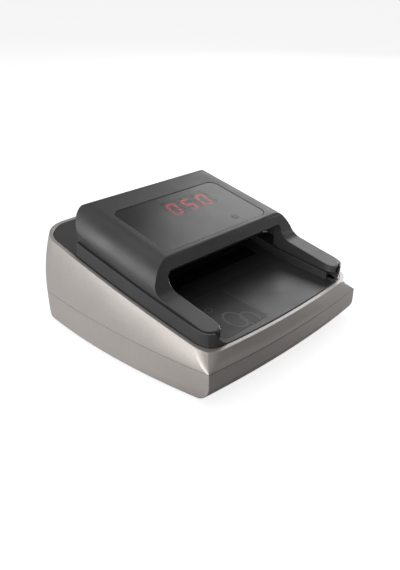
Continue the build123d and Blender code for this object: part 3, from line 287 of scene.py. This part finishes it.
def lit_segments():
    """Red light bars, uneven along their length."""
    material, tree, output = new_material("red_segments")
    shader = node(tree, "ShaderNodeBsdfPrincipled", {"Roughness": 0.4, "Emission Strength": DIGIT_GLOW})
    glow = noise(tree, 700.0, 1.0)
    tree.links.new(ramp(tree, glow, (0.85, 0.01, 0.02), (1.0, 0.03, 0.04)), shader.inputs["Emission Color"])
    tree.links.new(ramp(tree, glow, (0.6, 0.02, 0.02), (0.8, 0.05, 0.05)), shader.inputs["Base Color"])
    tree.links.new(shader.outputs["BSDF"], output.inputs["Surface"])
    return material


METAL = {"metallic": 1.0}
FINISHES = (
    # name, darkest, lightest, roughness range, grain per metre, other settings, pieces
    ("module_black", (0.012, 0.012, 0.012), (0.02, 0.02, 0.02), (0.5, 0.6), 900.0, {},
     ["display_module"]),
    ("key_dark", (0.02, 0.02, 0.022), (0.035, 0.035, 0.037), (0.3, 0.4), 1500.0, {},
     ["mode_key"]),
    ("circuit_board", (0.012, 0.09, 0.035), (0.03, 0.16, 0.06), (0.3, 0.45), 800.0, {"blotch": 160.0},
     ["main_board", "display_board", "uv_board", "lower_ir_boards", "upper_ir_board"]),
    ("chip_black", (0.02, 0.02, 0.02), (0.03, 0.03, 0.03), (0.5, 0.6), 1200.0, {},
     ["board_chips", "buzzer", "mode_switch"]),
    ("steel", (0.50, 0.50, 0.51), (0.66, 0.66, 0.67), (0.22, 0.36), 1400.0, {"blotch": 90.0, **METAL},
     ["case_screws", "board_screws", "gear_axles", "display_screws", "hinge_pins", "guide_screws",
      "pinch_springs", "front_shaft", "rear_shaft", "motor_shaft", "front_pinch_axle", "rear_pinch_axle"]),
    ("zinc_plate", (0.42, 0.42, 0.40), (0.60, 0.60, 0.58), (0.3, 0.5), 600.0, {"blotch": 220.0, **METAL},
     ["motor", "gear_plate"]),
    ("bronze", (0.40, 0.26, 0.12), (0.55, 0.38, 0.20), (0.35, 0.5), 1500.0, METAL,
     ["shaft_bushings", "motor_pinion"]),
    ("gear_white", (0.70, 0.69, 0.64), (0.80, 0.79, 0.75), (0.35, 0.45), 1800.0, {},
     ["front_gear", "rear_gear", "idler_gear", "reduction_gear"]),
    ("roller_rubber", (0.018, 0.018, 0.018), (0.035, 0.034, 0.033), (0.7, 0.85), 3000.0,
     {"blotch": 200.0, "depth": 0.05, "bump_strength": 0.5},
     ["front_rollers", "rear_rollers", "rubber_feet"]),
    ("pinch_plastic", (0.08, 0.08, 0.085), (0.12, 0.12, 0.125), (0.4, 0.5), 1500.0, {},
     ["front_pinch_rollers", "rear_pinch_rollers"]),
    ("capacitor_sleeve", (0.40, 0.41, 0.43), (0.55, 0.56, 0.58), (0.3, 0.4), 500.0, {"metallic": 0.8},
     ["board_capacitors"]),
    ("connector_white", (0.66, 0.64, 0.56), (0.78, 0.76, 0.68), (0.4, 0.5), 900.0, {},
     ["board_connectors"]),
    ("led_clear", (0.6, 0.62, 0.7), (0.75, 0.78, 0.85), (0.1, 0.2), 900.0, {},
     ["uv_leds", "upper_ir_leds"]),
    ("uv_filter", (0.010, 0.009, 0.012), (0.016, 0.014, 0.020), (0.2, 0.3), 100.0, {},
     ["uv_window", "lower_ir_windows", "upper_ir_windows"]),
    ("head_metal", (0.35, 0.35, 0.36), (0.5, 0.5, 0.51), (0.2, 0.3), 1800.0, METAL,
     ["magnetic_head"]),
    ("switch_black", (0.012, 0.012, 0.012), (0.02, 0.02, 0.02), (0.2, 0.3), 900.0, {},
     ["dc_jack", "power_switch_housing", "power_rocker"]),
)


def paint_all():
    assign(shell_paint(), "lower_shell", "upper_shell")
    assign(black_abs(), "deck", "hood_cover", "upper_guide")
    assign(smoked_window(), "display_window")
    assign(lit_segments(), "display_digits")
    assign(printed_label(), "feed_label")
    for name, dark, light, rough, grain, settings, pieces in FINISHES:
        assign(surface(name, dark, light, rough, grain, **settings), *pieces)


# ---------------------------------------------------------------- studio
def soft_light(name, place, target, size, power, tint):
    data = bpy.data.lights.new(name, "AREA")
    data.shape = "RECTANGLE"
    data.size, data.size_y = size
    data.energy = power
    data.color = tint
    lamp = bpy.data.objects.new(name, data)
    lamp.location = place
    lamp.rotation_euler = (Vector(target) - Vector(place)).to_track_quat("-Z", "Y").to_euler()
    scene.collection.objects.link(lamp)


def floor_material():
    """Pale matt paper. The camera sees it pale all over; to other rays it is darker, most of all in a round
    patch of painted shade at the front left, which keeps the front face from being washed out."""
    material, tree, output = new_material("studio_floor")
    shown = node(tree, "ShaderNodeBsdfDiffuse")
    paper = ramp(tree, noise(tree, 3.0), (0.45, 0.45, 0.45), (0.47, 0.47, 0.47))
    tree.links.new(paper, shown.inputs["Color"])
    lift = node(tree, "ShaderNodeEmission", {"Color": colour(WHITE), "Strength": FLOOR_GLOW})
    both = node(tree, "ShaderNodeAddShader")
    tree.links.new(shown.outputs["BSDF"], both.inputs[0])
    tree.links.new(lift.outputs["Emission"], both.inputs[1])
    floor_with_painted_shade = node(tree, "ShaderNodeBsdfDiffuse")
    place = node(tree, "ShaderNodeTexCoord")
    shade_patch_space = node(tree, "ShaderNodeMapping", {"Location": SHADE_PATCH_PLACE, "Scale": SHADE_PATCH_SCALE})
    shade_patch_gradient = node(tree, "ShaderNodeTexGradient", gradient_type="SPHERICAL")
    tree.links.new(place.outputs["Object"], shade_patch_space.inputs["Vector"])
    tree.links.new(shade_patch_space.outputs["Vector"], shade_patch_gradient.inputs["Vector"])
    # painted shade: for rays other than the camera's, the floor goes from 0.6 to 0.16 grey inside the round
    # patch
    painted_shade_patch = ramp(tree, shade_patch_gradient.outputs["Fac"], (0.6, 0.6, 0.6), (0.16, 0.16, 0.16), 0.0, SHADE_PATCH_EDGE)
    tree.links.new(painted_shade_patch, floor_with_painted_shade.inputs["Color"])
    seen = node(tree, "ShaderNodeLightPath")
    mix = node(tree, "ShaderNodeMixShader")
    tree.links.new(seen.outputs["Is Camera Ray"], mix.inputs["Fac"])
    tree.links.new(floor_with_painted_shade.outputs["BSDF"], mix.inputs[1])
    tree.links.new(both.outputs["Shader"], mix.inputs[2])
    tree.links.new(mix.outputs["Shader"], output.inputs["Surface"])
    return material


def lay_floor():
    mesh = bpy.data.meshes.new("floor")
    corners = [(x * FLOOR_REACH, y * FLOOR_REACH, 0) for x, y in ((-1, -1), (1, -1), (1, 1), (-1, 1))]
    mesh.from_pydata(corners, [], [(0, 1, 2, 3)])
    floor = bpy.data.objects.new("floor", mesh)
    floor.location.z = -FLOOR_DROP
    scene.collection.objects.link(floor)
    floor.data.materials.append(floor_material())


def fill_room():
    """A soft room: bright at the rear left and dim at the front right. The camera sees plain white."""
    world = bpy.data.worlds.new("studio")
    world.use_nodes = True
    tree = world.node_tree
    tree.nodes.clear()
    direction = node(tree, "ShaderNodeTexCoord")
    parts = node(tree, "ShaderNodeSeparateXYZ")
    tree.links.new(direction.outputs["Generated"], parts.inputs["Vector"])
    across = combine(tree, "SUBTRACT", parts.outputs["Y"], parts.outputs["X"])
    sky = node(tree, "ShaderNodeBackground", {"Color": colour(WHITE)})
    tree.links.new(ramp(tree, across, ROOM_DIM, ROOM_BRIGHT, -ROOM_SPREAD, ROOM_SPREAD),
                   sky.inputs["Strength"])
    white = node(tree, "ShaderNodeBackground", {"Color": colour(WHITE), "Strength": SHOWN_WORLD})
    seen = node(tree, "ShaderNodeLightPath")
    mix = node(tree, "ShaderNodeMixShader")
    tree.links.new(seen.outputs["Is Camera Ray"], mix.inputs["Fac"])
    tree.links.new(sky.outputs["Background"], mix.inputs[1])
    tree.links.new(white.outputs["Background"], mix.inputs[2])
    output = node(tree, "ShaderNodeOutputWorld")
    tree.links.new(mix.outputs["Shader"], output.inputs["Surface"])
    scene.world = world


def camera():
    """From the front left, looking down."""
    data = bpy.data.cameras.new("camera")
    data.sensor_width = CAMERA_SENSOR
    data.lens = CAMERA_SENSOR * LENS_PER_LONG_SIDE
    view = bpy.data.objects.new("camera", data)
    view.location = CAMERA_PLACE
    view.rotation_euler = (Vector(CAMERA_TARGET) - view.location).to_track_quat("-Z", "Y").to_euler()
    scene.collection.objects.link(view)
    scene.camera = view


paint_all()
lay_floor()
fill_room()
for light in LIGHTS:
    soft_light(*light)
camera()
scene.view_settings.view_transform = "Standard"
